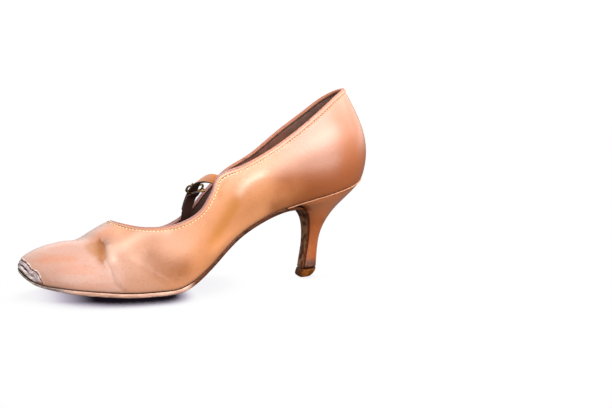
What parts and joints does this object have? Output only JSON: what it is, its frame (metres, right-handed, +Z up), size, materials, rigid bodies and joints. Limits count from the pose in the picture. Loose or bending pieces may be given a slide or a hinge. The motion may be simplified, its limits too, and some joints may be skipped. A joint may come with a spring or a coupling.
{
  "type": "dance shoe",
  "caption": "Worn closed-toe leather dance shoe for the right foot, with a low throat, buckled instep strap, suede sole and slim flared heel.",
  "frame": {"origin": "on the floor under the middle of the shoe's box", "axes": "+X from the toe to the heel, +Y towards the outer side of the foot, +Z up"},
  "size_m": [0.2296, 0.0796, 0.1275],
  "materials": {
    "upper_leather": "satin, creased and scuffed",
    "sole_suede": "brushed suede, worn",
    "heel_leather": "glossy, darkened at the foot",
    "tip_plastic": "amber brown, worn",
    "sock_leather": "matt lining",
    "binding_leather": "satin",
    "seat_cord": "light cord",
    "strap_leather": "satin outside, dark inside",
    "buckle_brass": "polished, dulled by wear"
  },
  "bodies": {
    "root": {"upper": "upper_leather", "outsole": "sole_suede", "heel": "heel_leather", "heel_tip": "tip_plastic", "insole": "sock_leather", "topline_binding": "binding_leather", "heel_seat_cord": "seat_cord", "instep_strap": "strap_leather", "buckle_tab": "strap_leather", "buckle_frame": "buckle_brass", "buckle_prong": "buckle_brass", "collar_ring": "buckle_brass"}
  },
  "joints": []
}
